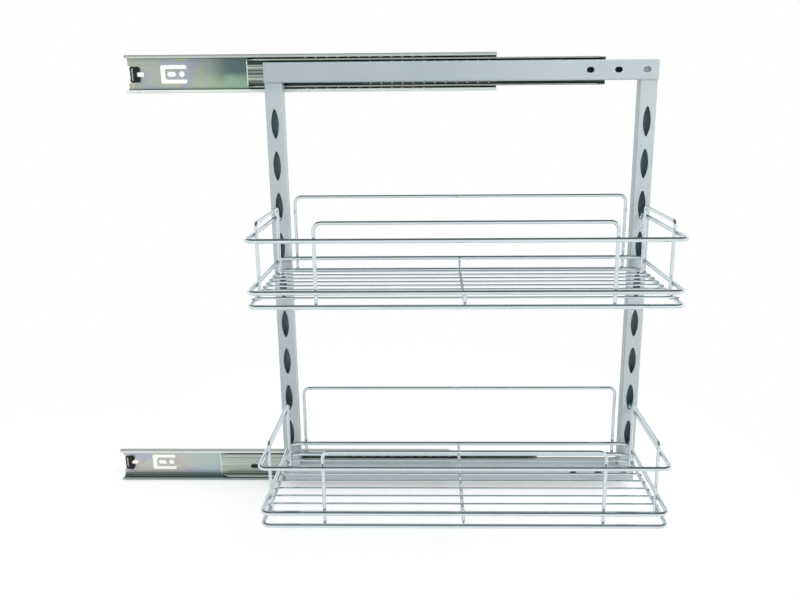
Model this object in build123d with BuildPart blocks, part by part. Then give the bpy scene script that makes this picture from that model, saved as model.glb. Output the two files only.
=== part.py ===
# Pull-out shelf: two wire baskets hung on a slotted steel frame, on two three-part ball slides.
# +X is the way the shelf pulls out, +Y points into the cabinet wall and +Z is up.
# The origin is the middle of the upper cabinet member's back face, which lies on the wall.
# The shelf stands part way out, each slide by its own amount.

import os
from math import sqrt

from build123d import *

# Ball slides, all in millimetres
cabinet_length = 450.0
middle_length = 434.5
inner_length = 430.0
cabinet_half_height = 22.5
cabinet_depth = 11.2
cabinet_sheet = 1.2
cabinet_bend = 7.2
cabinet_lip = 3.9
lip_bend = 3.0
web_gap = 0.8
middle_half_height = 16.5
middle_sheet = 1.7
middle_depth = 9.6
middle_bend = 3.0
middle_end_cut = 12.0
inner_half_height = 10.0
inner_sheet = 1.2
inner_bend = 2.2
slide_thickness = 12.7
ball_radius = 2.5
ball_clearance = 0.04
ball_pitch = 13.0
ball_count = 12
ball_row_depth = 6.8
cage_sheet = 0.5
cage_end = 9.5
cage_lobe = 0.6
pocket_cut = 2.0
outer_cage_bend = 4.0
inner_cage_bend = 1.0
inner_cage_creep = 7.0
pocket_clearance = 0.06
slide_play = 0.4

# How far each slide stands open: its middle member out of the cabinet member, then the frame
upper_middle_pull = 131.55
upper_frame_pull = 39.25
lower_middle_pull = 120.05
lower_frame_pull = 107.25

# Fixings of the slides
stop_start = 2.6
stop_length = 12.2
stop_height = 18.8
stop_depth = 3.2
stop_corner = 2.8
stop_lip = 1.3
stop_lip_depth = 1.5
stop_slit_width = 3.2
stop_slit_height = 14.6
stop_jaw_depth = 3.5
stop_jaw_height = 5.8
recess_margin = 0.8
notch_start = 11.3
notch_length = 8.2
notch_height = 4.8
window_start = 40.0
window_length = 32.4
window_height = 21.8
window_corner = 2.4
tongue_height = 12.6
tongue_inset = 5.9
oblong_length = 10.8
oblong_width = 5.7
oblong_from_end = 53.6
round_hole = 6.9
round_from_end = 66.2
latch_from_end = 42.0
latch_length = 15.0
latch_height = 4.4
latch_depth = 3.0
latch_drop = 4.4
latch_corner = 1.1
latch_edge = 0.55
rivet_radius = 2.6
rivet_head = 1.6
rivet_edge = 1.28
rivet_above = 4.9
rib_offsets = (5.0, 8.6)
rib_width = 1.2
rib_depth = 0.5

# Frame
frame_width = 465.0
frame_height = 540.0
rail_height = 23.0
rail_depth = 18.0
rail_sheet = 1.5
rail_bend = 1.5
post_width = 21.0
post_sheet = 1.5
tube_corner = 1.6
post_clearance = 0.2
strip_thickness = 2.0
door_hole_length = 9.0
door_hole_width = 6.5
door_hole_pitch = 33.0
door_hole_from_end = 14.0
door_hole_count = 3
slot_count = 9
slot_pitch = 50.0
slot_margin = 69.0
slot_length = 39.0
slot_width = 9.4
slot_tip = 1.5

# Screws that hold the inner members, with their nuts inside the rails
screw_radius = 2.0
screw_clearance = 0.15
screw_head_radius = 3.6
screw_head_height = 2.0
screw_length = 8.2
screw_spacing = 120.0
screw_count = 4
nut_width = 7.0
nut_height = 3.2
nut_clearance = 0.03

# Wire baskets
rim_wire = 2.5
guard_wire = 2.0
floor_wire = 1.2
wire_gap = 0.03
basket_depth = 179.0
front_corner = 9.0
back_corner = 12.0
ring_drop = 54.0
ring_spacing = 15.0
hook_drop = 12.0
hook_bend = 3.6
hook_gap = 0.7
hook_seat = 10.0
seat_clearance = 0.05
front_guard_half_width = 153.5
front_guard_rise = 17.5
back_guard_gap = 7.0
back_guard_rise = 22.0
side_guard_front = 34.5
side_guard_back = 30.0
side_guard_rise = 12.8
guard_bend = 8.0
side_bend = 5.0
leg_end = 1.5
floor_wire_count = 8
floor_wire_pitch = 18.4
floor_wire_margin = 23.5
floor_wire_end = 1.3
cross_bend = 5.0
cross_end = 1.0
upper_slot = 2
lower_slot = 7

# Depths from the wall, worked out from the sizes above
middle_back = -cabinet_sheet - web_gap
middle_front = middle_back - middle_sheet
middle_edge = middle_back - middle_depth
inner_front = -slide_thickness
inner_edge = middle_front - web_gap
ball_row = -ball_row_depth
strip_front = inner_front - strip_thickness
rail_front = strip_front - rail_depth
post_front = rail_front + rail_sheet
post_back = post_front + post_sheet
post_depth = strip_front - post_front
ring_back = post_front - rim_wire - seat_clearance
ring_front = ring_back - basket_depth

# Heights of the ball rows, midway between the two faces that they roll on
outer_ball_height = (cabinet_half_height - cabinet_sheet + middle_half_height) / 2
inner_ball_height = (middle_half_height - middle_sheet + inner_half_height) / 2
race_radius = ball_radius + ball_clearance

# Heights of the frame, with the upper slide's middle at zero
frame_top = rail_height / 2
frame_bottom = frame_top - frame_height
lower_slide_height = frame_bottom + rail_height / 2
first_slot = frame_bottom + slot_margin + (slot_count - 1) * slot_pitch

# Places along the pull, from the middle of a cabinet member
stop_end = stop_start + stop_length
middle_closed = stop_end + slide_play + (middle_length - cabinet_length) / 2
inner_closed = middle_closed + (middle_length - inner_length) / 2
frame_centre = inner_closed + upper_middle_pull + upper_frame_pull
lower_slide_centre = frame_centre - inner_closed - lower_middle_pull - lower_frame_pull
post_centre = (frame_width - post_width) / 2
back_guard_half_width = post_centre - post_width / 2 - guard_wire - back_guard_gap

# A basket is wider than the posts' spacing, so its hooks press outwards on the slots' sides
slot_arc = (slot_length**2 + slot_width**2) / (4 * slot_width)
seat_reach = slot_arc - rim_wire - seat_clearance
hook_spread = sqrt(seat_reach**2 - hook_seat**2) - (slot_arc - slot_width / 2)
ring_half_width = post_centre + hook_spread

os.makedirs("parts", exist_ok=True)


def keep(piece, name):
    """Labels a finished piece and writes it to its own file."""
    piece.label = name
    export_step(piece, f"parts/{name}.step")


def across(x, z):
    """A plane square to the pull, at x, whose origin is on the wall at height z."""
    return Plane(origin=(x, 0, z), x_dir=(0, 1, 0), z_dir=(1, 0, 0))


def facing(x, y, z):
    """A plane parallel to the wall at depth y, facing out of the cabinet."""
    return Plane(origin=(x, y, z), x_dir=(1, 0, 0), z_dir=(0, -1, 0))


def block(first, second, top_and_bottom, mode=Mode.ADD):
    """A rectangle of a section from depth first to depth second, between two heights."""
    low, high = top_and_bottom
    with Locations(((first + second) / 2, (low + high) / 2)):
        Rectangle(abs(second - first), high - low, mode=mode)


def bent_sheet(points, bends, sheet):
    """The section of a bent sheet, from the middle line and the outer radii of its bends."""
    with BuildLine() as middle:
        FilletPolyline(*points, radius=[bend - sheet / 2 for bend in bends])
    trace(middle.line, line_width=sheet)


def races(height):
    """The two grooves of a section that the balls at this height roll in."""
    with Locations((ball_row, height), (ball_row, -height)):
        Circle(race_radius, mode=Mode.SUBTRACT)


def bent_wire(points, radii, radius, closed=False):
    """A round wire along straight runs with rounded bends."""
    with BuildPart() as wire:
        with BuildLine() as route:
            FilletPolyline(*points, radius=radii, close=closed)
        with BuildSketch(Plane(origin=route.line @ 0, z_dir=route.line % 0)):
            Circle(radius)
        sweep()
    return wire.part


def make_cabinet_member(side, centre, height):
    """The outer channel, screwed to the wall, with its hanging tongues and its black stop."""
    start = centre - cabinet_length / 2
    web_face = facing(centre, -cabinet_sheet, height)
    with BuildPart() as member:
        with BuildSketch(across(start, height)):
            lip = cabinet_sheet / 2 - cabinet_depth
            web = -cabinet_sheet / 2
            flange = cabinet_half_height - cabinet_sheet / 2
            mouth = cabinet_half_height - cabinet_lip
            bent_sheet(
                [
                    (lip, mouth),
                    (lip, flange),
                    (web, flange),
                    (web, -flange),
                    (lip, -flange),
                    (lip, -mouth),
                ],
                [lip_bend, cabinet_bend, cabinet_bend, lip_bend],
                cabinet_sheet,
            )
            races(outer_ball_height)
        extrude(amount=cabinet_length)
        with BuildSketch(web_face):
            for end in (-1, 1):
                window_middle = cabinet_length / 2 - window_start - window_length / 2
                with Locations((end * window_middle, 0)):
                    RectangleRounded(window_length, window_height, window_corner)
                tongue_middle = window_middle - tongue_inset
                with Locations((end * tongue_middle, 0)):
                    RectangleRounded(window_length, tongue_height, window_corner, mode=Mode.SUBTRACT)
                with Locations((end * (cabinet_length / 2 - oblong_from_end), 0)):
                    SlotOverall(oblong_length, oblong_width)
                with Locations((end * (cabinet_length / 2 - round_from_end), 0)):
                    Circle(round_hole / 2)
            with Locations((notch_start + notch_length / 2 - cabinet_length / 2, 0)):
                Rectangle(notch_length, notch_height)
            with Locations((stop_start / 2 - cabinet_length / 2, 0)):
                Rectangle(stop_start, stop_height + 2 * recess_margin)
        extrude(amount=-cabinet_sheet, mode=Mode.SUBTRACT)
    keep(member.part, f"{side}_cabinet_member")

    with BuildPart() as stop:
        with BuildSketch(facing(start + stop_start, -cabinet_sheet, height)):
            with Locations((stop_length / 2, 0)):
                RectangleRounded(stop_length, stop_height, stop_corner)
            with Locations((stop_length - stop_jaw_depth / 2, 0)):
                Rectangle(stop_jaw_depth, stop_jaw_height, mode=Mode.SUBTRACT)
            with Locations((stop_lip + stop_slit_width / 2, 0)):
                Rectangle(stop_slit_width, stop_slit_height, mode=Mode.SUBTRACT)
        extrude(amount=stop_depth)
        body_start = stop_lip + stop_slit_width
        with BuildSketch(facing(start + stop_start, -cabinet_sheet - stop_lip_depth, height)):
            with Locations((body_start / 2, 0)):
                Rectangle(body_start, stop_height)
        extrude(amount=stop_depth - stop_lip_depth, mode=Mode.SUBTRACT)
    keep(stop.part, f"{side}_rear_stop")


def make_middle_member(side, centre, height):
    """The channel that runs between the two rows of balls, with its latch and rivet."""
    start = centre - middle_length / 2
    with BuildPart() as member:
        with BuildSketch(across(start, height)):
            web = (middle_back + middle_front) / 2
            flange = middle_half_height - middle_sheet / 2
            bent_sheet(
                [(middle_edge, flange), (web, flange), (web, -flange), (middle_edge, -flange)],
                [middle_bend, middle_bend],
                middle_sheet,
            )
            races(outer_ball_height)
            races(inner_ball_height)
            for offset in rib_offsets:
                for rib in (-offset, offset):
                    groove = (rib - rib_width / 2, rib + rib_width / 2)
                    block(middle_front, middle_front + rib_depth, groove, Mode.SUBTRACT)
        extrude(amount=middle_length)
        for end in (-1, 1):
            tip = centre + end * middle_length / 2
            with BuildSketch(Plane.XY.offset(height)):
                with BuildLine():
                    Polyline(
                        (tip, middle_front),
                        (tip, middle_edge),
                        (tip - end * middle_end_cut, middle_edge),
                        close=True,
                    )
                make_face()
            extrude(amount=middle_half_height, both=True, mode=Mode.SUBTRACT)
    keep(member.part, f"{side}_middle_member")

    latch_middle = start + latch_from_end + latch_length / 2
    with BuildPart() as latch:
        with BuildSketch(facing(latch_middle, middle_front, height - latch_drop)):
            RectangleRounded(latch_length, latch_height, latch_corner)
        extrude(amount=latch_depth)
        chamfer(latch.faces().sort_by(Axis.Y)[0].edges(), latch_edge)
    keep(latch.part, f"{side}_latch")

    with BuildPart() as rivet:
        with BuildSketch(facing(latch_middle, middle_front, height - latch_drop + rivet_above)):
            Circle(rivet_radius)
        extrude(amount=rivet_head)
        fillet(rivet.faces().sort_by(Axis.Y)[0].edges(), rivet_edge)
    keep(rivet.part, f"{side}_latch_rivet")


def make_ball_cage(name, centre, height, ball_height, back, bend):
    """One bent strip that holds an upper and a lower row of balls, and the balls."""
    length = (ball_count - 1) * ball_pitch + 2 * cage_end
    start = centre - length / 2
    rows = [
        (centre + (n - (ball_count - 1) / 2) * ball_pitch, ball_row, height + row * ball_height)
        for row in (-1, 1)
        for n in range(ball_count)
    ]
    with BuildPart() as cage:
        with BuildSketch(across(start, height)):
            web = back - cage_sheet / 2
            bent_sheet(
                [
                    (ball_row, ball_height),
                    (web, ball_height),
                    (web, -ball_height),
                    (ball_row, -ball_height),
                ],
                [bend, bend],
                cage_sheet,
            )
        extrude(amount=length)
        with Locations(*rows):
            Cylinder(ball_radius + cage_lobe, cage_sheet)
            Cylinder(ball_radius + pocket_clearance, pocket_cut, mode=Mode.SUBTRACT)
    keep(cage.part, f"{name}_cage")

    with BuildPart() as balls:
        with Locations(*rows):
            Sphere(ball_radius)
    keep(balls.part, f"{name}_balls")


def screw_places(height):
    """Where the screws of one inner member stand, on its middle line."""
    first = frame_centre - (screw_count - 1) * screw_spacing / 2
    return [(first + n * screw_spacing, height) for n in range(screw_count)]


def make_inner_member(side, height):
    """The inner channel, fixed to the frame, open towards the wall."""
    start = frame_centre - inner_length / 2
    with BuildPart() as member:
        with BuildSketch(across(start, height)):
            web = inner_front + inner_sheet / 2
            flange = inner_half_height - inner_sheet / 2
            bent_sheet(
                [(inner_edge, flange), (web, flange), (web, -flange), (inner_edge, -flange)],
                [inner_bend, inner_bend],
                inner_sheet,
            )
            races(inner_ball_height)
        extrude(amount=inner_length)
        with BuildSketch(facing(0, inner_front, 0)):
            with Locations(*screw_places(height)):
                Circle(screw_radius + screw_clearance)
        extrude(amount=-inner_sheet, mode=Mode.SUBTRACT)
    keep(member.part, f"{side}_inner_member")


def make_slide(side, height, slide_centre, middle_pull, frame_pull):
    """One whole slide: three members, and two ball cages that travel half a stage each."""
    make_cabinet_member(side, slide_centre, height)
    make_middle_member(side, slide_centre + middle_closed + middle_pull, height)
    make_inner_member(side, height)
    strip_gap = (web_gap - cage_sheet) / 2
    outer_centre = slide_centre + middle_pull / 2
    outer_back = -cabinet_sheet - strip_gap
    make_ball_cage(
        f"{side}_outer", outer_centre, height, outer_ball_height, outer_back, outer_cage_bend
    )
    inner_centre = slide_centre + middle_pull + frame_pull / 2 - inner_cage_creep
    inner_back = middle_front - strip_gap
    make_ball_cage(
        f"{side}_inner", inner_centre, height, inner_ball_height, inner_back, inner_cage_bend
    )


def make_rail(name, height, inward):
    """A rail channel open to the back, its inner flange cut short to let the posts in."""
    start = frame_centre - frame_width / 2
    half = rail_height / 2
    with BuildPart() as rail:
        with BuildSketch(across(start, height)) as section:
            block(rail_front, strip_front, (-half, half))
            inside = half - rail_sheet
            block(post_front, strip_front, (-inside, inside), Mode.SUBTRACT)
            fillet(section.vertices().group_by(Axis.X)[0], rail_bend)
        extrude(amount=frame_width)
        cut = post_width + post_clearance
        for end in (-1, 1):
            middle = frame_centre + end * (frame_width - cut) / 2
            with BuildSketch(Plane(origin=(middle, 0, height + inward * inside))):
                with Locations((0, (post_front + strip_front) / 2)):
                    Rectangle(cut, strip_front - post_front)
            extrude(amount=inward * rail_sheet, mode=Mode.SUBTRACT)
        first = frame_centre + frame_width / 2 - door_hole_from_end
        with BuildSketch(facing(0, rail_front, height)):
            with Locations(*[(first - n * door_hole_pitch, 0) for n in range(door_hole_count)]):
                SlotOverall(door_hole_length, door_hole_width)
        extrude(amount=-rail_sheet, mode=Mode.SUBTRACT)
    keep(rail.part, name)


def make_backing_strip(name, height):
    """The flat bar that closes a rail at the back and carries the inner member."""
    with BuildPart() as strip:
        with BuildSketch(facing(frame_centre, strip_front, height)):
            Rectangle(frame_width, rail_height)
        extrude(amount=-strip_thickness)
        with BuildSketch(facing(0, strip_front, 0)):
            with Locations(*screw_places(height)):
                Circle(screw_radius + screw_clearance)
        extrude(amount=-strip_thickness, mode=Mode.SUBTRACT)
    keep(strip.part, name)


def make_post(name, side):
    """A square tube with a column of lens-shaped slots in its front wall."""
    middle = frame_centre + side * post_centre
    foot = frame_bottom + rail_sheet
    head = frame_top - rail_sheet
    with BuildSketch() as lens:
        with BuildLine():
            top = (0, slot_length / 2)
            bottom = (0, -slot_length / 2)
            ThreePointArc(top, (slot_width / 2, 0), bottom)
            ThreePointArc(bottom, (-slot_width / 2, 0), top)
        make_face()
        fillet(lens.vertices(), slot_tip)
    with BuildPart() as post:
        with BuildSketch(Plane.XY.offset(foot)):
            with Locations((middle, (post_front + strip_front) / 2)):
                RectangleRounded(post_width, post_depth, tube_corner)
                hollow = (post_width - 2 * post_sheet, post_depth - 2 * post_sheet)
                RectangleRounded(*hollow, tube_corner - post_sheet / 2, mode=Mode.SUBTRACT)
        extrude(amount=head - foot)
        with BuildSketch(facing(middle, post_front, first_slot)):
            with Locations(*[(0, -n * slot_pitch) for n in range(slot_count)]):
                add(lens.sketch)
        extrude(amount=-post_sheet, mode=Mode.SUBTRACT)
    keep(post.part, name)


def make_fasteners():
    """The screws of both inner members, and the nuts inside the rails."""
    places = screw_places(0) + screw_places(lower_slide_height)
    head_face = inner_front + inner_sheet
    with BuildPart() as screws:
        with BuildSketch(facing(0, head_face, 0)):
            with Locations(*places):
                Circle(screw_head_radius)
        extrude(amount=-screw_head_height)
        with BuildSketch(facing(0, head_face, 0)):
            with Locations(*places):
                Circle(screw_radius)
        extrude(amount=screw_length)
    keep(screws.part, "slide_screws")

    with BuildPart() as nuts:
        with BuildSketch(facing(0, strip_front, 0)):
            with Locations(*places):
                RegularPolygon(nut_width / 2, 6, major_radius=False)
                Circle(screw_radius + nut_clearance, mode=Mode.SUBTRACT)
        extrude(amount=nut_height)
    keep(nuts.part, "slide_nuts")


def make_frame():
    """Two rails, two posts and the bars that carry the inner members."""
    make_rail("top_rail", 0, -1)
    make_rail("bottom_rail", lower_slide_height, 1)
    make_backing_strip("top_backing_strip", 0)
    make_backing_strip("bottom_backing_strip", lower_slide_height)
    make_post("left_post", -1)
    make_post("right_post", 1)
    make_fasteners()


def make_rings(tier, rim_height):
    """The hooked rim and the two closed rings under it."""
    left = frame_centre - ring_half_width
    right = frame_centre + ring_half_width
    hook = post_back + hook_gap + rim_wire
    hook_end = rim_height - hook_drop
    rim = bent_wire(
        [
            (left, hook, hook_end),
            (left, hook, rim_height),
            (left, ring_front, rim_height),
            (right, ring_front, rim_height),
            (right, hook, rim_height),
            (right, hook, hook_end),
        ],
        [hook_bend, front_corner, front_corner, hook_bend],
        rim_wire,
    )
    keep(rim, f"{tier}_rim")
    for name, drop in (("middle_ring", ring_drop), ("base_ring", ring_drop + ring_spacing)):
        height = rim_height - drop
        ring = bent_wire(
            [
                (left, ring_back, height),
                (left, ring_front, height),
                (right, ring_front, height),
                (right, ring_back, height),
            ],
            [back_corner, front_corner, front_corner, back_corner],
            rim_wire,
            closed=True,
        )
        keep(ring, f"{tier}_{name}")


def make_guards(tier, rim_height):
    """The hoops that stand above the rim at the front, the back and both ends."""
    foot = rim_height - ring_drop - ring_spacing - leg_end
    beside = rim_wire + guard_wire + wire_gap
    hoops = (
        ("front_guard", front_guard_half_width, ring_front + beside, front_guard_rise),
        ("back_guard", back_guard_half_width, ring_back + beside, back_guard_rise),
    )
    for name, half_width, depth, rise in hoops:
        left = frame_centre - half_width
        right = frame_centre + half_width
        top = rim_height + rise
        hoop = bent_wire(
            [(left, depth, foot), (left, depth, top), (right, depth, top), (right, depth, foot)],
            [guard_bend, guard_bend],
            guard_wire,
        )
        keep(hoop, f"{tier}_{name}")
    front = ring_front + side_guard_front
    back = ring_back - side_guard_back
    top = rim_height + side_guard_rise
    for name, side in (("left_guard", -1), ("right_guard", 1)):
        x = frame_centre + side * (ring_half_width - beside)
        hoop = bent_wire(
            [(x, front, foot), (x, front, top), (x, back, top), (x, back, foot)],
            [side_bend, side_bend],
            guard_wire,
        )
        keep(hoop, f"{tier}_{name}")


def make_floor(tier, rim_height):
    """The thin wires that lie on the base ring, and the wire under their middles."""
    ring_height = rim_height - ring_drop - ring_spacing
    wire_height = ring_height + rim_wire + floor_wire + wire_gap
    first = ring_front + floor_wire_margin
    half_length = ring_half_width - floor_wire_end
    with BuildPart() as wires:
        with BuildSketch(across(frame_centre - half_length, wire_height)):
            with Locations(*[(first + n * floor_wire_pitch, 0) for n in range(floor_wire_count)]):
                Circle(floor_wire)
        extrude(amount=2 * half_length)
    keep(wires.part, f"{tier}_floor_wires")

    cross_height = wire_height - floor_wire - guard_wire - wire_gap
    beside = rim_wire + guard_wire + wire_gap
    end_height = rim_height - ring_drop + cross_end
    cross = bent_wire(
        [
            (frame_centre, ring_front + beside, end_height),
            (frame_centre, ring_front + beside, cross_height),
            (frame_centre, ring_back - beside, cross_height),
            (frame_centre, ring_back - beside, end_height),
        ],
        [cross_bend, cross_bend],
        guard_wire,
    )
    keep(cross, f"{tier}_cross_wire")


def make_basket(tier, slot):
    """A basket whose rim hooks into one pair of slots."""
    rim_height = first_slot - slot * slot_pitch - hook_seat
    make_rings(tier, rim_height)
    make_guards(tier, rim_height)
    make_floor(tier, rim_height)


make_slide("upper", 0, 0, upper_middle_pull, upper_frame_pull)
make_slide("lower", lower_slide_height, lower_slide_centre, lower_middle_pull, lower_frame_pull)
make_frame()
make_basket("upper", upper_slot)
make_basket("lower", lower_slot)
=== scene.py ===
import math

import bmesh
import bpy
from mathutils import Matrix, Vector


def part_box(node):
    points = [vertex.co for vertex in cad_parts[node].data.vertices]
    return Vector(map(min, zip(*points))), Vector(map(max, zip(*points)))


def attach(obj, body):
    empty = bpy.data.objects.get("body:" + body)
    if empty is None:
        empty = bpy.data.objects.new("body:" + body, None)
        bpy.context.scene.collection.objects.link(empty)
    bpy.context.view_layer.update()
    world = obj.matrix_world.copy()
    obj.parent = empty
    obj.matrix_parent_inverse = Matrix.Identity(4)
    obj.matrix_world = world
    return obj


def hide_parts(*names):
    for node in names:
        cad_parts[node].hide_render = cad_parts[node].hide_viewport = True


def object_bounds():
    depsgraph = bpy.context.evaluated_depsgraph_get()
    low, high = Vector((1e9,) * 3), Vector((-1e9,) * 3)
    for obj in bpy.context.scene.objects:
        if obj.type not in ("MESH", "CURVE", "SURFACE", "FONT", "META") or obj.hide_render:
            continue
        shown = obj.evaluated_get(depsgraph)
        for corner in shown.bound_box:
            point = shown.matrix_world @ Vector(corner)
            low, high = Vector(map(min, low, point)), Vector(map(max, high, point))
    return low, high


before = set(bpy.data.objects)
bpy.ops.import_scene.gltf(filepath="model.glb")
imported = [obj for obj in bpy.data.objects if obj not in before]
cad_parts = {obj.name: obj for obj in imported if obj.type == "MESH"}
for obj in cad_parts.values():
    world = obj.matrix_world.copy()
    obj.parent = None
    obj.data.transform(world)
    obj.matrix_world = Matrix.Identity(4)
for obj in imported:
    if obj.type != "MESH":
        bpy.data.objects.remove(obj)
cad_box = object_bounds()


# Rails, posts and backing strips: folded sheet and square tube, powder coated in a pale
# blue-grey satin with a fine orange peel. Shade is painted inside the posts and inside the
# rails, and light is painted onto the right end of the top rail.


class Link:
    """A node's output that takes part in sums, so that node maths reads as arithmetic."""

    def __init__(self, nodes, socket):
        self.nodes = nodes
        self.socket = socket

    def out(self, name):
        return Link(self.nodes, self.socket.node.outputs[name])

    def sum(self, operation, *values):
        return self.nodes.add("ShaderNodeMath", {"operation": operation}, *values)

    def __add__(self, other):
        return self.sum("ADD", self, other)

    def __sub__(self, other):
        return self.sum("SUBTRACT", self, other)

    def __rsub__(self, other):
        return self.sum("SUBTRACT", other, self)

    def __mul__(self, other):
        return self.sum("MULTIPLY", self, other)

    def __pow__(self, other):
        return self.sum("POWER", self, other)

    def __abs__(self):
        return self.sum("ABSOLUTE", self)

    def at_least(self, other):
        """The larger of the two."""
        return self.sum("MAXIMUM", self, other)

    def within(self, low, high):
        """0 below low, 1 above high and a smooth step between them."""
        step = {"interpolation_type": "SMOOTHSTEP"}
        return self.nodes.add("ShaderNodeMapRange", step, self, low, high)

    def between(self, low, high, soft):
        """1 from low to high, with a smooth step as wide as soft on either side."""
        return self.within(low - soft, low) * (1.0 - self.within(high, high + soft))

    __radd__ = __add__
    __rmul__ = __mul__


class Nodes:
    """A node tree that is filled one node at a time."""

    def add(self, kind, settings, *values, **sockets):
        node = self.tree.nodes.new(kind)
        for name, value in settings.items():
            setattr(node, name, value)
        wanted = list(zip(node.inputs, values))
        wanted += [(node.inputs[name.replace("_", " ")], value) for name, value in sockets.items()]
        for socket, value in wanted:
            if isinstance(value, Link):
                self.tree.links.new(value.socket, socket)
            else:
                socket.default_value = value
        return Link(self, node.outputs[0])


class Finish(Nodes):
    """One of the shelf's finishes: a shader whose plain values are set here."""

    def __init__(self, name, **plain):
        self.material = bpy.data.materials.new(name)
        self.material.use_nodes = True
        self.tree = self.material.node_tree
        self.shader = self.tree.nodes["Principled BSDF"]
        self.place = self.add("ShaderNodeTexCoord", {}).out("Object")
        for socket, value in plain.items():
            self.shader.inputs[socket.replace("_", " ")].default_value = value

    def noise(self, scale, detail=2.0, stretch=(1.0, 1.0, 1.0)):
        """Noise with features of 1/scale metres, longer along the axes whose stretch is small."""
        where = self.add("ShaderNodeVectorMath", {"operation": "MULTIPLY"}, self.place, stretch)
        return self.add("ShaderNodeTexNoise", {}, Vector=where, Scale=scale, Detail=detail)

    def mix(self, share, first, second):
        """A colour that goes from first to second as share goes from 0 to 1."""
        node = self.add("ShaderNodeMix", {"data_type": "RGBA"}, share).socket.node
        for socket, value in ((node.inputs[6], first), (node.inputs[7], second)):
            if isinstance(value, Link):
                self.tree.links.new(value.socket, socket)
            else:
                socket.default_value = (*value, 1.0)
        return Link(self, node.outputs[2])

    def wears(self, **surface):
        """Feeds what changes over the surface into the shader."""
        for socket, value in surface.items():
            self.tree.links.new(value.socket, self.shader.inputs[socket.replace("_", " ")])

    def relief(self, height, depth, strength=1.0):
        """Bumps of that height in metres."""
        bump = self.add("ShaderNodeBump", {}, Strength=strength, Distance=depth, Height=height)
        self.wears(Normal=bump)


def low(node):
    """The lowest corner of a CAD node at rest."""
    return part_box(node)[0]


def high(node):
    """The highest corner of a CAD node at rest."""
    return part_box(node)[1]


def coat(finish, *names):
    """Gives CAD pieces a finish."""
    for name in names:
        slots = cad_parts[name].data.materials
        slots.clear()
        slots.append(finish.material)


blue_grey, light_grey = (0.345, 0.42, 0.45), (0.415, 0.495, 0.525)
pale_post, painted_light_at_end = (0.60, 0.66, 0.66), (0.60, 0.66, 0.67)
painted_shade_in_rails, painted_shade_in_posts, dust = (0.22, 0.245, 0.25), (0.265, 0.405, 0.435), (0.30, 0.35, 0.37)
post_paleness, painted_light_share, dust_share = 0.32, 0.23, 0.35
light_from, light_to = 0.20, 0.31
pale_below, blue_above = -0.03, -0.01

paint = Finish("satin_paint", Coat_Weight=0.25, Coat_Roughness=0.3, Specular_IOR_Level=0.45)
cloud = paint.noise(14.0, 3.0)
grime = paint.noise(60.0, 4.0)
peel = paint.noise(1500.0, 2.0)
spread = paint.add("ShaderNodeSeparateXYZ", {}, paint.place)
along, depth, level = spread.out("X"), spread.out("Y"), spread.out("Z")
on_top = level.within(pale_below, blue_above)
tone = paint.mix(cloud, blue_grey, light_grey)
tone = paint.mix(post_paleness - post_paleness * on_top, tone, pale_post)
# Painted light: the top rail grows paler towards its right end, where the lamps fall more on it.
tone = paint.mix(painted_light_share * on_top * along.within(light_from, light_to), tone, painted_light_at_end)

post_low, post_high = low("left_post"), high("left_post")
fade = 0.0004
behind = depth.within(post_low.y - fade, post_low.y)
flange_start, flange_end = 0.0011, 0.0013
top_flange, bottom_flange = low("top_rail").z, high("bottom_rail").z
upper_rail = level.within(top_flange + flange_start, top_flange + flange_end)
lower_rail = 1.0 - level.within(bottom_flange - flange_end, bottom_flange - flange_start)
# Painted shade: the rails' insides, behind the posts' front faces, are darkened where light hardly
# reaches.
tone = paint.mix(behind * (upper_rail + lower_rail), tone, painted_shade_in_rails)

wall_inside, wall_outside = 0.0010, 0.0007
front_wall_start, front_wall_end = 0.0011, 0.0014
post_half = (post_high.x - post_low.x) / 2
frame_middle = (post_low.x + high("right_post").x) / 2
post_offset = high("right_post").x - post_half - frame_middle
off_post = abs(abs(along - frame_middle) - post_offset)
within_walls = 1.0 - off_post.within(post_half - wall_inside, post_half - wall_outside)
past_front = depth.within(post_low.y + front_wall_start, post_low.y + front_wall_end)
before_back = 1.0 - depth.within(post_high.y - wall_inside, post_high.y - wall_outside)
# Painted shade inside the hollow posts, seen through their slots.
tone = paint.mix(within_walls * past_front * before_back, tone, painted_shade_in_posts)
paint.wears(
    Base_Color=paint.mix(dust_share * grime.within(0.62, 0.8), tone, dust),
    Roughness=0.34 + 0.14 * grime,
)
paint.relief(peel + 0.4 * grime, 0.00005)
coat(paint, "top_rail", "bottom_rail", "left_post", "right_post")
coat(paint, "top_backing_strip", "bottom_backing_strip")


# Tack welds: short beads that hold the posts to the rails, at the edge of each rail's front
# wall. They are laid before painting, so that the coat covers them.


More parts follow.
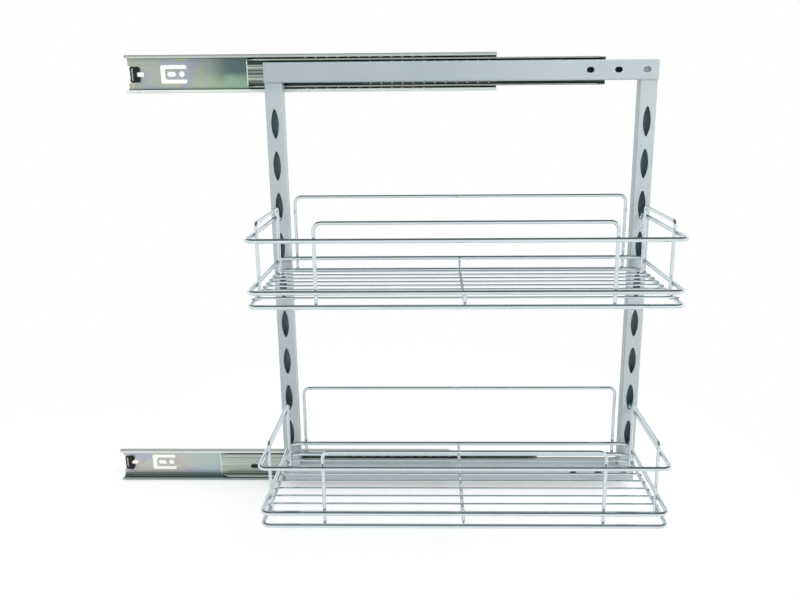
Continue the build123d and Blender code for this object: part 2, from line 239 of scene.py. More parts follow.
class Plan(Nodes):
    """A geometry tree with named inputs, whose result is kept as a plain mesh."""

    def __init__(self, name, **inputs):
        self.tree = bpy.data.node_groups.new(name, "GeometryNodeTree")
        sockets = self.tree.interface
        sockets.new_socket("Geometry", in_out="INPUT", socket_type="NodeSocketGeometry")
        self.names = {}
        for title, kind in inputs.items():
            made = sockets.new_socket(title, in_out="INPUT", socket_type=f"NodeSocket{kind}")
            self.names[title] = made.identifier
        sockets.new_socket("Geometry", in_out="OUTPUT", socket_type="NodeSocketGeometry")
        self.start = self.add("NodeGroupInput", {})
        self.end = self.tree.nodes.new("NodeGroupOutput")

    def ends_with(self, shape):
        """Closes the tree: real meshes, smooth, in the material that is asked for."""
        real = self.add("GeometryNodeRealizeInstances", {}, shape)
        smooth = self.add("GeometryNodeSetShadeSmooth", {}, real)
        dressed = self.add("GeometryNodeSetMaterial", {}, smooth, Material=self.start.out("Finish"))
        self.tree.links.new(dressed.socket, self.end.inputs[0])

    def make(self, name, guide, finish, crease=35.0, **values):
        """Runs the tree on a guide mesh and returns the plain piece that comes out."""
        piece = bpy.data.objects.new(name, guide)
        bpy.context.collection.objects.link(piece)
        modifier = piece.modifiers.new("plan", "NODES")
        modifier.node_group = self.tree
        for title, value in {"Finish": finish.material, **values}.items():
            modifier[self.names[title]] = value
        graph = bpy.context.evaluated_depsgraph_get()
        done = bpy.data.meshes.new_from_object(piece.evaluated_get(graph))
        piece.modifiers.clear()
        piece.data = done
        done.name = name
        done.set_sharp_from_angle(angle=math.radians(crease))
        return piece


def guide_points(points, sizes=()):
    """Loose points, with the size of what is laid on each, where sizes are given."""
    mesh = bpy.data.meshes.new("guide")
    mesh.from_pydata([Vector(p) for p in points], [], [])
    if sizes:
        mark = mesh.attributes.new("size", "FLOAT_VECTOR", "POINT")
        for item, size in zip(mark.data, sizes):
            item.vector = size
    return mesh


def belongs(piece, body, slot, *nodes):
    """A finished piece rides on its body and stands for the CAD nodes that it follows."""
    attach(piece, body)
    if nodes:
        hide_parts(*nodes)


bead_tilt = 0.3
beads = Plan("weld_beads", Finish="Material", Seed="Int")
blob = beads.add("GeometryNodeMeshIcoSphere", {}, Radius=1.0, Subdivisions=3)
size = beads.add("GeometryNodeInputNamedAttribute", {"data_type": "FLOAT_VECTOR"}, Name="size")
turn = beads.add("FunctionNodeRandomValue", {"data_type": "FLOAT_VECTOR"})
turn_node = turn.socket.node
turn_node.inputs[0].default_value = (-bead_tilt, -bead_tilt, -bead_tilt)
turn_node.inputs[1].default_value = (bead_tilt, bead_tilt, bead_tilt)
beads.tree.links.new(beads.start.out("Seed").socket, turn_node.inputs["Seed"])
laid = beads.add(
    "GeometryNodeInstanceOnPoints", {}, beads.start, Instance=blob, Scale=size, Rotation=turn
)
beads.ends_with(laid)

tack_length, tack_pitch, tack_start = 0.006, 0.0009, 0.0016
tack_size = (0.00088, 0.00088, 0.0011)
tacks = [
    (corner + way * (tack_start + n * tack_pitch), post_low.y, edge)
    for post in ("left_post", "right_post")
    for edge in (top_flange, bottom_flange)
    for corner, way in ((low(post).x, 1), (high(post).x, -1))
    for n in range(int(tack_length / tack_pitch))
]
tack_guide = guide_points(tacks, [tack_size] * len(tacks))
belongs(beads.make("frame_tack_welds", tack_guide, paint, Seed=4), "shelf", "frame_paint")


# Ball slides: roll-formed steel strip, zinc plated and passivated, which gives the grey a
# patchy yellow, green and violet tint. Forming leaves fine lines along the length, grease and
# painted shade darken the races where the balls run, and sheared ends show bare steel with a
# painted highlight.

plating = 0.85
sheared_steel_and_highlight = (0.86, 0.88, 0.88)


class Strip(Finish):
    """The skin of one member's strip. Its level is measured from the strip's middle, and its
    rise is how far above or below that middle a place lies."""

    def __init__(self, name, node):
        super().__init__(name, Metallic=plating, Specular_IOR_Level=0.5)
        self.left_end = low(node).x
        split = self.add("ShaderNodeSeparateXYZ", {}, self.place)
        self.along, self.depth = split.out("X"), split.out("Y")
        self.level = split.out("Z") - (low(node).z + high(node).z) / 2
        self.rise = abs(self.level)
        self.lines = self.noise(1400.0, 3.0, (0.012, 1.0, 1.0))
        self.drift = self.noise(13.0, 2.0, (1.0, 1.0, 2.0))

    def finished(self, tone, race, matt, grease_and_shade, bright=0.0004, dull=0.0009):
        """Lays grease and painted shade in the race over the tone, and bare steel with a painted
        highlight over the sheared left end. The steel is bright up to the first distance from the
        end and gone at the second."""
        # Bare steel at the sheared end, lightened into a painted highlight of the lit cut edge.
        lit_sheared_end = 1.0 - self.along.within(self.left_end + bright, self.left_end + dull)
        tone = self.mix(race, tone, grease_and_shade)
        self.wears(
            Base_Color=self.mix(lit_sheared_end, tone, sheared_steel_and_highlight),
            Roughness=0.28 + 0.16 * self.lines - 0.10 * race + 0.28 * matt,
        )
        self.relief(self.lines, 0.00003)


# Passivation tints of each tier; the lower tier's are painted lighter for how the light falls on
# that slide.
tints_and_tier_light = {
    "upper": ((0.42, 0.49, 0.43), (0.40, 0.43, 0.51), (0.47, 0.52, 0.35)),
    "lower": ((0.60, 0.62, 0.55), (0.61, 0.55, 0.54), (0.50, 0.54, 0.66)),
}
# Painted light and shade on the lips, bottom lip then top lip: the lower slide's bottom lip is
# painted dark, the other lips light.
lip_light_and_shade = {
    "upper": ((0.90, 0.97, 0.93), (0.80, 0.87, 0.84)),
    "lower": ((0.30, 0.41, 0.37), (0.94, 0.99, 0.96)),
}
# A patch on each cabinet member: the upper one's dark teal crown is painted shade near the middle
# member's end, the lower one a bluish tint.
shade_and_tint_patches = {
    "upper": (-0.165, -0.090, (0.065, 0.130, 0.135), (0.30, 0.48, 0.32)),
    "lower": (-0.195, -0.155, (0.50, 0.63, 0.60), (0.48, 0.60, 0.70)),
}
grease_and_shade = {"upper": (0.030, 0.048, 0.042), "lower": (0.050, 0.118, 0.100)}
shaded_from = {"upper": -0.076, "lower": -1.0}
dulled = {"upper": 0.5, "lower": 0.0}
rolling_line = (0.60, 0.64, 0.60)
patch_ragged, tail_start, tail_end = 0.05, 0.02, 0.09
crown_ragged, foot_below, crown_above = 0.02, -0.011, 0.004

bend_back, bend_rise, bend_radius, lip_inside = 0.0072, 0.0153, 0.0063, -0.0098
race_start, race_full = 0.0150, 0.0162
deep_start, deep_full = 0.0172, 0.0180
skin_start, skin_full = 0.0180, 0.0190
glint_start, glint_end, blend = 0.0192, 0.0199, 0.002
for tier in ("upper", "lower"):
    node = f"{tier}_cabinet_member"
    cabinet = Strip(f"{tier}_cabinet_zinc", node)
    spots = cabinet.noise(34.0, 2.0, (1.0, 1.0, 1.6))
    grey, dusk, olive = tints_and_tier_light[tier]
    tone = cabinet.mix(cabinet.drift.between(0.51, 0.55, 0.05), grey, dusk)
    tone = cabinet.mix(spots.within(0.53, 0.63), tone, olive)
    tone = cabinet.mix(0.35 * cabinet.lines.within(0.35, 0.8), tone, rolling_line)

    patch_start, patch_end, crown, foot = shade_and_tint_patches[tier]
    edge = cabinet.along + patch_ragged * (cabinet.drift - 0.5)
    tail = cabinet.along.within(patch_end + tail_start, patch_end + tail_end)
    patch = edge.within(patch_start, patch_end) * (1.0 - tail)
    upward = (cabinet.level + crown_ragged * (spots - 0.5)).within(foot_below, crown_above)
    tone = cabinet.mix(0.9 * patch, tone, cabinet.mix(upward, foot, crown))

    hollow = (cabinet.depth + bend_back).at_least(0.0)
    away = cabinet.rise - bend_rise
    off_bend = (hollow * hollow + away * away) ** 0.5
    inside = 1.0 - off_bend.within(bend_radius, bend_radius + fade)
    inside = inside * cabinet.depth.within(lip_inside - fade, lip_inside)
    # Painted shade in the race, with a little grease: faint everywhere, dark from where the middle
    # member covers it, darker still in its deep part, and left light along a painted glint.
    smear_and_shade = cabinet.along.within(shaded_from[tier] - blend, shaded_from[tier] + blend)
    race = inside * cabinet.rise.within(race_start, race_full) * (0.15 + 0.75 * smear_and_shade)
    race = race * (1.0 - 0.75 * cabinet.rise.between(glint_start, glint_end, fade))
    race = race.at_least(0.45 * inside * cabinet.rise.within(deep_start, deep_full))

    skin = cabinet.rise.within(skin_start, skin_full) * (1.0 - inside)
    topside = cabinet.level.within(-blend, blend)
    tone = cabinet.mix(0.85 * skin, tone, cabinet.mix(topside, *lip_light_and_shade[tier]))
    cabinet.finished(tone, race, skin, grease_and_shade[tier])
    cabinet.wears(Metallic=plating - dulled[tier] * skin * (1.0 - topside))
    coat(cabinet, node)

# Painted light: the lower middle member is painted brighter than the upper one for how the light
# falls on each tier.
tier_light = {"upper": 1.0, "lower": 1.45}
streaked = {"upper": 0.95, "lower": 0.18}
soil_and_shade = {"upper": 0.95, "lower": 0.45}
middle_tints = ((0.36, 0.44, 0.39), (0.41, 0.46, 0.40))
inner_tints = ((0.40, 0.45, 0.42), (0.46, 0.48, 0.43))
dark_streak, pale_streak, worn_rim = (0.060, 0.095, 0.085), (0.60, 0.66, 0.63), (0.60, 0.63, 0.59)
front_face, rim_start, rim_full = -0.0108, 0.0150, 0.0156
middle_race, inner_race = (0.0116, 0.0150, 0.0006), (0.0070, 0.0088, fade)
for tier in ("upper", "lower"):
    node = f"{tier}_middle_member"
    middle = Strip(f"{tier}_middle_zinc", node)
    clean, tarnished = ([tier_light[tier] * part for part in tint] for tint in middle_tints)
    tone = middle.mix(middle.drift.within(0.4, 0.65), clean, tarnished)
    rolled = middle.noise(620.0, 2.0, (0.006, 1.0, 1.0))
    tone = middle.mix(streaked[tier] * (1.0 - rolled.within(0.40, 0.56)), tone, dark_streak)
    tone = middle.mix(streaked[tier] * rolled.within(0.58, 0.68), tone, pale_streak)
    front = 1.0 - middle.depth.within(front_face, front_face + fade)
    rim = front.at_least(middle.rise.within(rim_start, rim_full))
    tone = middle.mix(0.85 * rim, tone, worn_rim)
    # Painted shade, with soil, in the middle member's races under its flanges.
    race = soil_and_shade[tier] * middle.rise.between(*middle_race) * (1.0 - rim)
    middle.finished(tone, race, rim, grease_and_shade[tier], bright=0.0008, dull=0.0014)
    coat(middle, node)

    node = f"{tier}_inner_member"
    inner = Strip(f"{tier}_inner_zinc", node)
    tone = inner.mix(inner.drift.within(0.4, 0.65), *inner_tints)
    worn = 0.5 * inner.rise.between(*inner_race)
    inner.finished(tone, worn, worn, grease_and_shade[tier])
    coat(inner, node)

rubbed_zinc, greased_zinc = (0.34, 0.36, 0.35), (0.10, 0.11, 0.11)
cage_zinc = Finish("cage_zinc", Metallic=0.9)
scuff = cage_zinc.noise(300.0, 3.0, (0.05, 1.0, 1.0))
cage_zinc.wears(
    Base_Color=cage_zinc.mix(scuff, greased_zinc, rubbed_zinc),
    Roughness=0.22 + 0.2 * scuff,
)
cage_zinc.relief(scuff, 0.00003)
for tier in ("upper", "lower"):
    coat(cage_zinc, f"{tier}_outer_cage", f"{tier}_inner_cage")


# Balls: ground steel, greased, two rows in each cage. They sit in the cage's punched holes
# and roll in the grooves of the members.

smeared_steel, clean_steel = (0.42, 0.43, 0.42), (0.86, 0.87, 0.86)
steel_ball = Finish("ground_steel", Metallic=1.0)
smear_and_shade = steel_ball.noise(700.0, 2.0)
steel_ball.wears(
    Base_Color=steel_ball.mix(smear_and_shade, smeared_steel, clean_steel),
    Roughness=0.08 + 0.14 * smear_and_shade,
)

ball_rows = Plan("ball_rows", Finish="Material", Radius="Float")
ball = ball_rows.add(
    "GeometryNodeMeshIcoSphere", {}, Radius=ball_rows.start.out("Radius"), Subdivisions=4
)
ball_rows.ends_with(
    ball_rows.add("GeometryNodeInstanceOnPoints", {}, ball_rows.start, Instance=ball)
)
balls_in_row, ball_radius = 12, 0.0025
for tier in ("upper", "lower"):
    for row in ("outer", "inner"):
        node = f"{tier}_{row}_balls"
        first, last = low(node), high(node)
        step = (last.x - first.x - 2 * ball_radius) / (balls_in_row - 1)
        seats = [
            (first.x + ball_radius + n * step, (first.y + last.y) / 2, height)
            for height in (first.z + ball_radius, last.z - ball_radius)
            for n in range(balls_in_row)
        ]
        guide = guide_points(seats)
        made = ball_rows.make(node + "_set", guide, steel_ball, 60.0, Radius=ball_radius)
        belongs(made, f"{tier}_{row}_balls_and_cage", "ball_steel", node)


# Rear stops and latches: black moulded plastic. A stop is a springy claw that grips the
# middle member when the slide is shut; a latch is the lever that frees the inner member.

deep_black, rubbed_black = (0.004, 0.0045, 0.005), (0.013, 0.014, 0.015)
plastic = Finish("black_moulding", Specular_IOR_Level=0.3)
matt = plastic.noise(900.0, 2.0)
rub = plastic.noise(90.0, 3.0)
plastic.wears(
    Base_Color=plastic.mix(rub, deep_black, rubbed_black),
    Roughness=0.38 + 0.2 * matt,
)
plastic.relief(matt, 0.00003)
touching, smooth_below, corner_steps = 1e-6, math.radians(40.0), 6


def moulding(name, outline, front, back, edge, finish):
    """A plate with that outline in X and Z, from depth front to depth back, its edges rounded."""
    shape = bmesh.new()
    face = shape.faces.new([shape.verts.new((x, back, z)) for x, z in outline])
    pulled = bmesh.ops.extrude_face_region(shape, geom=[face])["geom"]
    for vertex in [v for v in pulled if isinstance(v, bmesh.types.BMVert)]:
        vertex.co.y = front
    bmesh.ops.recalc_face_normals(shape, faces=shape.faces)
    rim = [e for e in shape.edges if all(abs(v.co.y - front) < touching for v in e.verts)]
    bmesh.ops.bevel(shape, geom=rim, offset=edge, segments=3, affect="EDGES", profile=0.6)
    mesh = bpy.data.meshes.new(name)
    shape.to_mesh(mesh)
    shape.free()
    mesh.materials.append(finish.material)
    for polygon in mesh.polygons:
        polygon.use_smooth = True
    mesh.set_sharp_from_angle(angle=smooth_below)
    piece = bpy.data.objects.new(name, mesh)
    bpy.context.collection.objects.link(piece)
    return piece


def joined(name, *pieces):
    """Several finished meshes as one piece."""
    shape = bmesh.new()
    for piece in pieces:
        shape.from_mesh(piece.data)
    materials = list(pieces[0].data.materials)
    mesh = bpy.data.meshes.new(name)
    shape.to_mesh(mesh)
    shape.free()
    for material in materials:
        mesh.materials.append(material)
    mesh.set_sharp_from_angle(angle=smooth_below)
    for piece in pieces:
        bpy.data.objects.remove(piece)
    whole = bpy.data.objects.new(name, mesh)
    bpy.context.collection.objects.link(whole)
    return whole


def quarter(x, z, radius, first):
    """Points of a quarter turn about (x, z), from the angle first on, counterclockwise."""
    turns = [math.radians(first + 90 / corner_steps * n) for n in range(corner_steps + 1)]
    return [(x + radius * math.cos(t), z + radius * math.sin(t)) for t in turns]


def mirrored(half):
    """A whole outline from its lower half."""
    return half + [(x, -z) for x, z in reversed(half)]


claw_reach, claw_half, claw_corner, lip_start = 0.0122, 0.0094, 0.0028, 0.0046
shoulder, shoulder_half = 0.0066, 0.0090
jaw_start, jaw_end, jaw_floor = 0.0114, 0.0096, 0.0087
mouth_half, jaw_half, jaw_floor_half = 0.0040, 0.0029, 0.0021
claw = [(lip_start, -claw_half), (shoulder, -shoulder_half)]
claw += quarter(claw_reach - claw_corner, claw_corner - claw_half, claw_corner, -90)
claw += [(claw_reach, -mouth_half), (jaw_start, -jaw_half), (jaw_end, -jaw_half)]
claw = mirrored(claw + [(jaw_floor, -jaw_floor_half)])

slit_start, slit_half, slit_corner, lip_back = 0.0013, 0.0073, 0.0008, 0.0017
lip = [(lip_start, claw_half), (0.0022, claw_half), (0.0008, 0.0086), (0.0, 0.0070)]
lip += [(0.0002, 0.0048), (0.0008, 0.0030), (0.0004, 0.0008), (0.0004, -0.0014)]
lip += [(0.0009, -0.0034), (0.0002, -0.0054), (0.0001, -0.0072), (0.0010, -0.0088)]
lip += [(0.0024, -claw_half), (lip_start, -claw_half), (lip_start, -slit_half)]
lip += [(slit_start + slit_corner, -slit_half), (slit_start, slit_corner - slit_half)]
lip += [(slit_start, slit_half - slit_corner), (slit_start + slit_corner, slit_half)]
lip += [(lip_start, slit_half)]

lever = [(0.0, -0.6), (0.08, -1.0), (0.62, -1.0), (0.7, -0.55), (0.94, -0.55), (1.0, -0.3)]
lever, pad = mirrored(lever), mirrored([(0.1, -0.7), (0.4, -0.7)])
soft_edge, pad_edge, pad_rise, pad_thickness = 0.0005, 0.0004, 0.0012, 0.002
for tier in ("upper", "lower"):
    node = f"{tier}_rear_stop"
    first, last = low(node), high(node)
    middle = (first.z + last.z) / 2
    pieces = []
    for outline, front in ((claw, first.y), (lip, first.y + lip_back)):
        here = [(first.x + x, middle + z) for x, z in outline]
        pieces.append(moulding("part", here, front, last.y, soft_edge, plastic))
    belongs(joined(f"{tier}_stop_claw", *pieces), f"{tier}_wall", "black_plastic", node)

    node = f"{tier}_latch"
    first, last = low(node), high(node)
    length, height, middle = last.x - first.x, (last.z - first.z) / 2, (first.z + last.z) / 2
    here = [(first.x + x * length, middle + z * height) for x, z in lever]
    body = moulding("lever", here, first.y + pad_rise, last.y, soft_edge, plastic)
    here = [(first.x + x * length, middle + z * height) for x, z in pad]
    thumb = moulding("thumb", here, first.y, first.y + pad_thickness, pad_edge, plastic)
    belongs(joined(f"{tier}_latch_lever", body, thumb), f"{tier}_middle", "black_plastic", node)


# Screws, nuts and latch rivets: bright zinc. The screws pass through the inner member and
# the backing strip into nuts inside the rail.

dull_zinc, fresh_zinc = (0.56, 0.57, 0.57), (0.74, 0.75, 0.75)
bright_zinc = Finish("bright_zinc", Metallic=0.95)
turned = bright_zinc.noise(800.0, 3.0)
bright_zinc.wears(
    Base_Color=bright_zinc.mix(turned, dull_zinc, fresh_zinc),
    Roughness=0.16 + 0.16 * turned,
)
bright_zinc.relief(turned, 0.00002)


def spun(name, profile, sides, finish):
    """A solid of revolution about Y from (radius, depth) pairs. A radius of 0 is one point."""
    shape = bmesh.new()
    rings = []
    turns = [2 * math.pi * n / sides for n in range(sides)]
    for radius, depth in profile:
        rings.append([
            shape.verts.new((radius * math.cos(t), depth, radius * math.sin(t)))
            for t in (turns if radius else turns[:1])
        ])
    for one, two in zip(rings, rings[1:]):
        for n in range(sides):
            m = (n + 1) % sides
            corners = [one[n % len(one)], one[m % len(one)], two[m % len(two)], two[n % len(two)]]
            shape.faces.new(list(dict.fromkeys(corners)))
    bmesh.ops.recalc_face_normals(shape, faces=shape.faces)
    mesh = bpy.data.meshes.new(name)
    shape.to_mesh(mesh)
    shape.free()
    mesh.materials.append(finish.material)
    piece = bpy.data.objects.new(name, mesh)
    bpy.context.collection.objects.link(piece)
    return piece


fixings = Plan("fixings", Finish="Material", Fixing="Object")
copied = fixings.add("GeometryNodeObjectInfo", {}, fixings.start.out("Fixing"))
fixings.ends_with(
    fixings.add(
        "GeometryNodeInstanceOnPoints", {}, fixings.start, Instance=copied.out("Geometry")
    )
)

screws_in_row = 4
head_radius, head_height, shank_radius, thread_pitch = 0.0036, 0.002, 0.002, 0.0007
root_radius, tip_radius, tip_length = 0.82 * shank_radius, 0.6 * shank_radius, 0.0001
recess_width, recess_slot, recess_depth = 0.0038, 0.0009, 0.0011
crown_radius, shoulder_radius = 0.55 * head_radius, 0.86 * head_radius
shoulder_drop, edge_drop = 0.00035, 0.0011
screws_low, screws_high = low("slide_screws"), high("slide_screws")
screw_length = screws_high.y - screws_low.y
screw_step = (screws_high.x - screws_low.x - 2 * head_radius) / (screws_in_row - 1)
screw_seats = [
    (screws_low.x + head_radius + n * screw_step, screws_high.y, height)
    for height in (screws_low.z + head_radius, screws_high.z - head_radius)
    for n in range(screws_in_row)
]
screw_profile = [(0, 0.0), (crown_radius, 0.0), (shoulder_radius, -shoulder_drop)]
screw_profile += [(head_radius, -edge_drop), (head_radius, -head_height)]
for n in range(int((screw_length - head_height) / thread_pitch)):
    depth = -head_height - n * thread_pitch
    screw_profile += [(root_radius, depth - 0.05 * thread_pitch)]
    screw_profile += [(shank_radius, depth - 0.5 * thread_pitch)]
screw_profile += [(root_radius, tip_length - screw_length), (tip_radius, -screw_length)]
screw_profile += [(0, -screw_length)]
screw = spun("screw", screw_profile, 24, bright_zinc)
cross = bmesh.new()
for wide, tall in ((recess_width, recess_slot), (recess_slot, recess_width)):
    bar = bmesh.ops.create_cube(cross, size=1.0)["verts"]
    bmesh.ops.scale(cross, vec=(wide, 2 * recess_depth, tall), verts=bar)
cut_mesh = bpy.data.meshes.new("cross")
cross.to_mesh(cut_mesh)
cross.free()
cut = bpy.data.objects.new("cross", cut_mesh)
bpy.context.collection.objects.link(cut)
recess = screw.modifiers.new("recess", "BOOLEAN")
recess.operation, recess.object, recess.solver = "DIFFERENCE", cut, "EXACT"
recess.use_self = True
graph = bpy.context.evaluated_depsgraph_get()
cut_screw = bpy.data.meshes.new_from_object(screw.evaluated_get(graph))
screw.modifiers.clear()
screw.data = cut_screw
bpy.data.objects.remove(cut)
made = fixings.make("inner_member_screws", guide_points(screw_seats), bright_zinc, Fixing=screw)
belongs(made, "shelf", "fastener_zinc", "slide_screws")
bpy.data.objects.remove(screw)

across_flats, nut_bore, nut_chamfer = 0.007, 0.00203, 0.0004
flat, corner = across_flats / 2, across_flats / math.sqrt(3)
nuts_low, nuts_high = low("slide_nuts"), high("slide_nuts")
nut_height = nuts_high.y - nuts_low.y
nut_profile = [(nut_bore, 0.0), (flat, 0.0), (corner, -nut_chamfer)]
nut_profile += [(corner, nut_chamfer - nut_height), (flat, -nut_height)]
nut_profile += [(nut_bore, -nut_height), (nut_bore, 0.0)]
nut = spun("nut", nut_profile, 6, bright_zinc)
nut_seats = [(x, nuts_high.y, z) for x, y, z in screw_seats]
made = fixings.make("inner_member_nuts", guide_points(nut_seats), bright_zinc, 20.0, Fixing=nut)
belongs(made, "shelf", "fastener_zinc", "slide_nuts")
bpy.data.objects.remove(nut)

dome_steps = (0, 0.3, 0.6, 0.9, 1.2, 1.4)
for tier in ("upper", "lower"):
    node = f"{tier}_latch_rivet"
    first, last = low(node), high(node)
    radius, tall = (last.x - first.x) / 2, last.y - first.y
    dome = [(radius * math.sin(t), -tall * math.cos(t)) for t in dome_steps]
    rivet = spun("rivet", dome + [(radius, 0.0), (0, 0.0)], 32, bright_zinc)
    seat = [((first.x + last.x) / 2, last.y, (first.z + last.z) / 2)]
    made = fixings.make(f"{tier}_rivet_head", guide_points(seat), bright_zinc, Fixing=rivet)
    belongs(made, f"{tier}_middle", "fastener_zinc", node)
    bpy.data.objects.remove(rivet)


# Basket wires: drawn steel wire, bent and resistance welded, then nickel and chrome plated.
# Each wire is swept along its own bent route, and its ends are cropped square.

dim_chrome, clear_chrome = (0.607, 0.69, 0.712), (0.736, 0.825, 0.85)
chrome = Finish("plated_wire", Metallic=1.0, Specular_IOR_Level=0.5)
drawn = chrome.noise(260.0, 2.0)
haze = chrome.noise(45.0, 3.0)
chrome.wears(
    Base_Color=chrome.mix(haze, dim_chrome, clear_chrome),
    Roughness=0.04 + 0.09 * drawn,
)
chrome.relief(drawn, 0.00002, 0.5)

wires = Plan("bent_wires", Finish="Material", Radius="Float", Sides="Int", Steps="Int")
route = wires.add("GeometryNodeMeshToCurve", {}, wires.start)
bend = wires.add("GeometryNodeInputNamedAttribute", {"data_type": "FLOAT"}, Name="bend")
rounded = wires.add(
    "GeometryNodeFilletCurve",
    {"mode": "POLY"},
    Curve=route,
    Count=wires.start.out("Steps"),
    Radius=bend,
)
ring = wires.add(
    "GeometryNodeCurvePrimitiveCircle",
    {},
    Resolution=wires.start.out("Sides"),
    Radius=wires.start.out("Radius"),
)
wires.ends_with(
    wires.add("GeometryNodeCurveToMesh", {}, rounded, Profile_Curve=ring, Fill_Caps=True)
)

thick, hoop, thin = 0.0025, 0.002, 0.0012
hook_bend, front_corner, back_corner = 0.0036, 0.009, 0.012
hoop_bend, end_bend, cross_bend, bend_steps = 0.008, 0.005, 0.005, 10
floor_wire_count = 8


def guide_route(runs, closed=False):
    """Routes of straight runs, each corner with its bend radius."""
    mesh = bpy.data.meshes.new("guide")
    points, edges, bends = [], [], []
    for run in runs:
        base = len(points)
        points += [Vector(p[:3]) for p in run]
        bends += [p[3] if len(p) > 3 else 0.0 for p in run]
        edges += [(base + n, base + n + 1) for n in range(len(run) - 1)]
        if closed:
            edges.append((base + len(run) - 1, base))
    mesh.from_pydata(points, edges, [])
    mark = mesh.attributes.new("bend", "FLOAT", "POINT")
    for item, value in zip(mark.data, bends):
        item.value = value
    return mesh


def wire(node, runs, radius, closed=False, sides=20):
    """A plated wire of the basket, in the place of its CAD node."""
    guide = guide_route(runs, closed)
    sizes = {"Radius": radius, "Sides": sides, "Steps": bend_steps}
    belongs(wires.make(node + "_wire", guide, chrome, **sizes), "shelf", "basket_chrome", node)


def floor_rows(tier):
    """The depth of each wire of a basket's floor."""
    lo, hi = low(f"{tier}_floor_wires"), high(f"{tier}_floor_wires")
    pitch = (hi.y - lo.y - 2 * thin) / (floor_wire_count - 1)
    return [lo.y + thin + n * pitch for n in range(floor_wire_count)]


for tier in ("upper", "lower"):
    lo, hi = low(f"{tier}_rim"), high(f"{tier}_rim")
    left, right, front, back = lo.x + thick, hi.x - thick, lo.y + thick, hi.y - thick
    rim_height = hi.z - thick
    wire(f"{tier}_rim", [[
        (left, back, lo.z), (left, back, rim_height, hook_bend),
        (left, front, rim_height, front_corner), (right, front, rim_height, front_corner),
        (right, back, rim_height, hook_bend), (right, back, lo.z),
    ]], thick)
    for name in ("middle_ring", "base_ring"):
        height, rear = low(f"{tier}_{name}").z + thick, high(f"{tier}_{name}").y - thick
        seam = (left + right) / 2
        wire(f"{tier}_{name}", [[
            (seam, rear, height), (left, rear, height, back_corner),
            (left, front, height, front_corner), (right, front, height, front_corner),
            (right, rear, height, back_corner),
        ]], thick, closed=True)
    for name in ("front_guard", "back_guard"):
        lo, hi = low(f"{tier}_{name}"), high(f"{tier}_{name}")
        depth, top = lo.y + hoop, hi.z - hoop
        wire(f"{tier}_{name}", [[
            (lo.x + hoop, depth, lo.z), (lo.x + hoop, depth, top, hoop_bend),
            (hi.x - hoop, depth, top, hoop_bend), (hi.x - hoop, depth, lo.z),
        ]], hoop)
    for name in ("left_guard", "right_guard"):
        lo, hi = low(f"{tier}_{name}"), high(f"{tier}_{name}")
        side, top = lo.x + hoop, hi.z - hoop
        wire(f"{tier}_{name}", [[
            (side, lo.y + hoop, lo.z), (side, lo.y + hoop, top, end_bend),
            (side, hi.y - hoop, top, end_bend), (side, hi.y - hoop, lo.z),
        ]], hoop)
    lo, hi = low(f"{tier}_cross_wire"), high(f"{tier}_cross_wire")
    middle = lo.x + hoop
    wire(f"{tier}_cross_wire", [[
        (middle, lo.y + hoop, hi.z), (middle, lo.y + hoop, lo.z + hoop, cross_bend),
        (middle, hi.y - hoop, lo.z + hoop, cross_bend), (middle, hi.y - hoop, hi.z),
    ]], hoop)
    lo, hi = low(f"{tier}_floor_wires"), high(f"{tier}_floor_wires")
    height = lo.z + thin
    runs = [[(lo.x, y, height), (hi.x, y, height)] for y in floor_rows(tier)]
    wire(f"{tier}_floor_wires", runs, thin, sides=14)


# Weld nuggets: the small swellings where crossing wires are pressed into each other. They
# are plated with the wires, but their skin stays a little rough.

dim_weld, clear_weld = (0.46, 0.47, 0.48), (0.66, 0.67, 0.68)
nugget = Finish("plated_weld", Metallic=1.0)
pitted = nugget.noise(1800.0, 3.0)
nugget.wears(
    Base_Color=nugget.mix(pitted, dim_weld, clear_weld),
    Roughness=0.16 + 0.2 * pitted,
)
nugget.relief(pitted, 0.0001)

front_nugget, side_nugget = (0.0019, 0.0011, 0.0019), (0.0011, 0.0019, 0.0019)
floor_nugget, under_nugget = (0.0022, 0.0016, 0.0011), (0.0014, 0.0014, 0.0009)
ring_nugget, ring_nugget_rise = (0.0016, 0.0011, 0.0012), 0.0004


def crossings(tier):
    """Where the wires of one basket touch, with the size of each nugget."""
    found = []
    rim = high(f"{tier}_rim").z - thick
    middle_ring = low(f"{tier}_middle_ring").z + thick
    base_ring = low(f"{tier}_base_ring").z + thick
    lo, hi = low(f"{tier}_base_ring"), high(f"{tier}_base_ring")
    left, right, front, back = lo.x + thick, hi.x - thick, lo.y + thick, hi.y - thick
    for name, depth, heights in (
        ("front_guard", front, (rim, middle_ring, base_ring)),
        ("back_guard", back, (middle_ring, base_ring)),
    ):
        for x in (low(f"{tier}_{name}").x + hoop, high(f"{tier}_{name}").x - hoop):
            found += [((x, depth + thick, z), front_nugget) for z in heights]
    for name, side in (("left_guard", left + thick), ("right_guard", right - thick)):
        for y in (low(f"{tier}_{name}").y + hoop, high(f"{tier}_{name}").y - hoop):
            found += [((side, y, z), side_nugget) for z in (rim, middle_ring, base_ring)]
    under = low(f"{tier}_floor_wires").z
    cross = low(f"{tier}_cross_wire").x + hoop
    for y in floor_rows(tier):
        found += [((x, y, base_ring + thick), floor_nugget) for x in (left, right)]
        found.append(((cross, y, under), under_nugget))
    for y in (front + thick, back - thick):
        for z in (middle_ring, base_ring):
            found.append(((cross, y, z + ring_nugget_rise), ring_nugget))
    return found


for tier in ("upper", "lower"):
    guide = guide_points(*zip(*crossings(tier)))
    belongs(beads.make(f"{tier}_weld_nuggets", guide, nugget, Seed=7), "shelf", "basket_chrome")


# Camera, lights and floor: a plain white studio. The camera stands about a metre in front of
# the slides, near the height of the upper one, and looks a little down on the baskets.

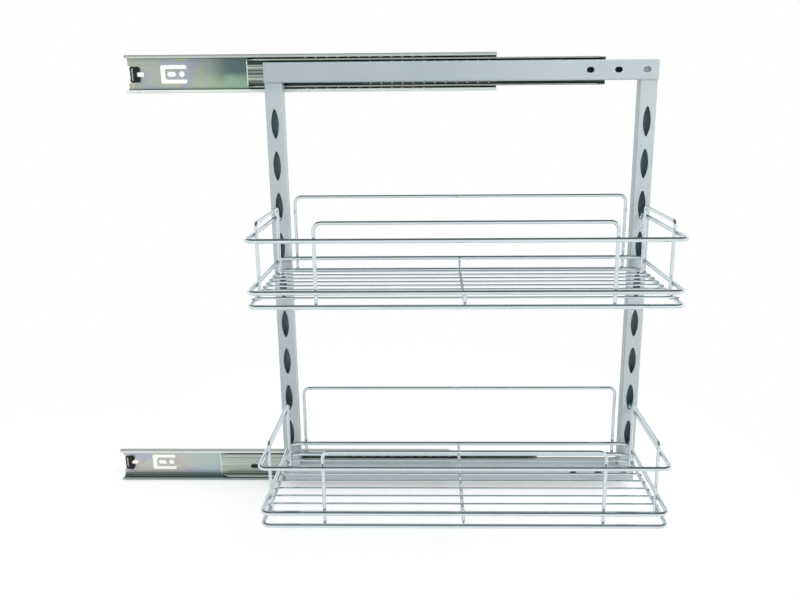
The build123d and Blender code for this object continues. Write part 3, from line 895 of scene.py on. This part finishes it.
camera_at = Vector((0.14893, -0.98064, -0.03087))
yaw, pitch, roll = 0.0200, -0.2431, -0.0081
focal, centre_x, centre_y, picture_width, picture_height = 776.17, 419.13, 290.82, 800, 600
reach = math.cos(pitch)
ahead = Vector((-math.sin(yaw) * reach, math.cos(yaw) * reach, math.sin(pitch)))
sideways = Vector((math.cos(yaw), math.sin(yaw), 0.0))
upward = sideways.cross(ahead)
rightward = sideways * math.cos(roll) + upward * math.sin(roll)
upward = upward * math.cos(roll) - sideways * math.sin(roll)
lens = bpy.data.cameras.new("camera")
lens.sensor_width = 36.0
lens.lens = focal / picture_width * lens.sensor_width
lens.shift_x = (picture_width / 2 - centre_x) / picture_width
lens.shift_y = (centre_y - picture_height / 2) / picture_width
lens.clip_start, lens.clip_end = 0.05, 50.0
camera = bpy.data.objects.new("camera", lens)
axes = Matrix((rightward, upward, -ahead)).transposed().to_4x4()
camera.matrix_world = Matrix.Translation(camera_at) @ axes
bpy.context.collection.objects.link(camera)
bpy.context.scene.camera = camera


def lamp(name, place, aim, width, height, power):
    """A soft box that faces its aim."""
    light = bpy.data.lights.new(name, "AREA")
    light.shape, light.size, light.size_y, light.energy = "RECTANGLE", width, height, power
    holder = bpy.data.objects.new(name, light)
    holder.location = place
    holder.rotation_euler = (Vector(aim) - Vector(place)).to_track_quat("-Z", "Y").to_euler()
    holder.visible_glossy = False
    bpy.context.collection.objects.link(holder)


lit_place = (0.15, -0.1, -0.27)
lamp("key", (1.25, -1.0, 0.8), lit_place, 1.1, 1.3, 18.5)
lamp("fill", (-1.5, -1.5, 0.6), lit_place, 1.2, 1.6, 6.0)
lamp("top", (0.3, -0.3, 1.8), lit_place, 1.8, 1.2, 10.5)


def seen(rays):
    """1 for the rays that show the studio to the eye, straight or in shiny metal."""
    shown = rays.out("Is Camera Ray").at_least(rays.out("Is Glossy Ray"))
    return shown.at_least(rays.out("Is Transmission Ray"))


lit_by_studio, ceiling_shade, ceiling_start, ceiling_full = 0.55, 0.88, 0.38, 0.66
world = bpy.data.worlds.new("studio")
bpy.context.scene.world = world
world.use_nodes = True
sky = Nodes()
sky.tree = world.node_tree
rays = sky.add("ShaderNodeLightPath", {})
background = world.node_tree.nodes["Background"]
background.inputs["Color"].default_value = (1.0, 1.0, 1.0, 1.0)
skyward = sky.add("ShaderNodeTexCoord", {}).out("Generated")
height = sky.add("ShaderNodeSeparateXYZ", {}, skyward).out("Z")
ceiling = height.within(ceiling_start, ceiling_full) * rays.out("Is Glossy Ray")
strength = lit_by_studio + (1.0 - lit_by_studio) * seen(rays)
strength = strength * (1.0 - ceiling_shade * ceiling)
world.node_tree.links.new(strength.socket, background.inputs["Strength"])

black, white = (0.0, 0.0, 0.0), (1.0, 1.0, 1.0)
pale_low, pale_high = (0.91, 0.91, 0.91), (0.93, 0.93, 0.93)
bright_low, bright_high = (1.18, 1.18, 1.18), (1.21, 1.21, 1.21)
near_glow, glow_start, glow_full = 0.4, 0.62, 0.85
floor_half, floor_gap = 12.0, 0.0006
floor_finish = Finish("pale_floor", Roughness=0.9, Specular_IOR_Level=0.0, Emission_Strength=1.0)
rays = floor_finish.add("ShaderNodeLightPath", {})
away = floor_finish.add("ShaderNodeVectorMath", {"operation": "LENGTH"}, floor_finish.place)
far = away.out("Value").within(glow_start, glow_full)
glow = (near_glow + (1.0 - near_glow) * far) * seen(rays)
speck = floor_finish.noise(3.0, 2.0)
pale = floor_finish.mix(speck, pale_low, pale_high)
bright = floor_finish.mix(speck, bright_low, bright_high)
shade = floor_finish.mix(rays.out("Is Camera Ray"), pale, bright)
floor_finish.wears(
    Base_Color=floor_finish.mix(glow, shade, black),
    Emission_Color=floor_finish.mix(glow, black, white),
)
floor_mesh = bpy.data.meshes.new("floor")
floor_height = cad_box[0].z - floor_gap
corners = [(-floor_half, -floor_half), (floor_half, -floor_half)]
corners += [(floor_half, floor_half), (-floor_half, floor_half)]
floor_mesh.from_pydata([(x, y, floor_height) for x, y in corners], [], [(0, 1, 2, 3)])
floor_mesh.materials.append(floor_finish.material)
floor = bpy.data.objects.new("floor", floor_mesh)
bpy.context.collection.objects.link(floor)

bpy.context.scene.view_settings.view_transform = "Standard"
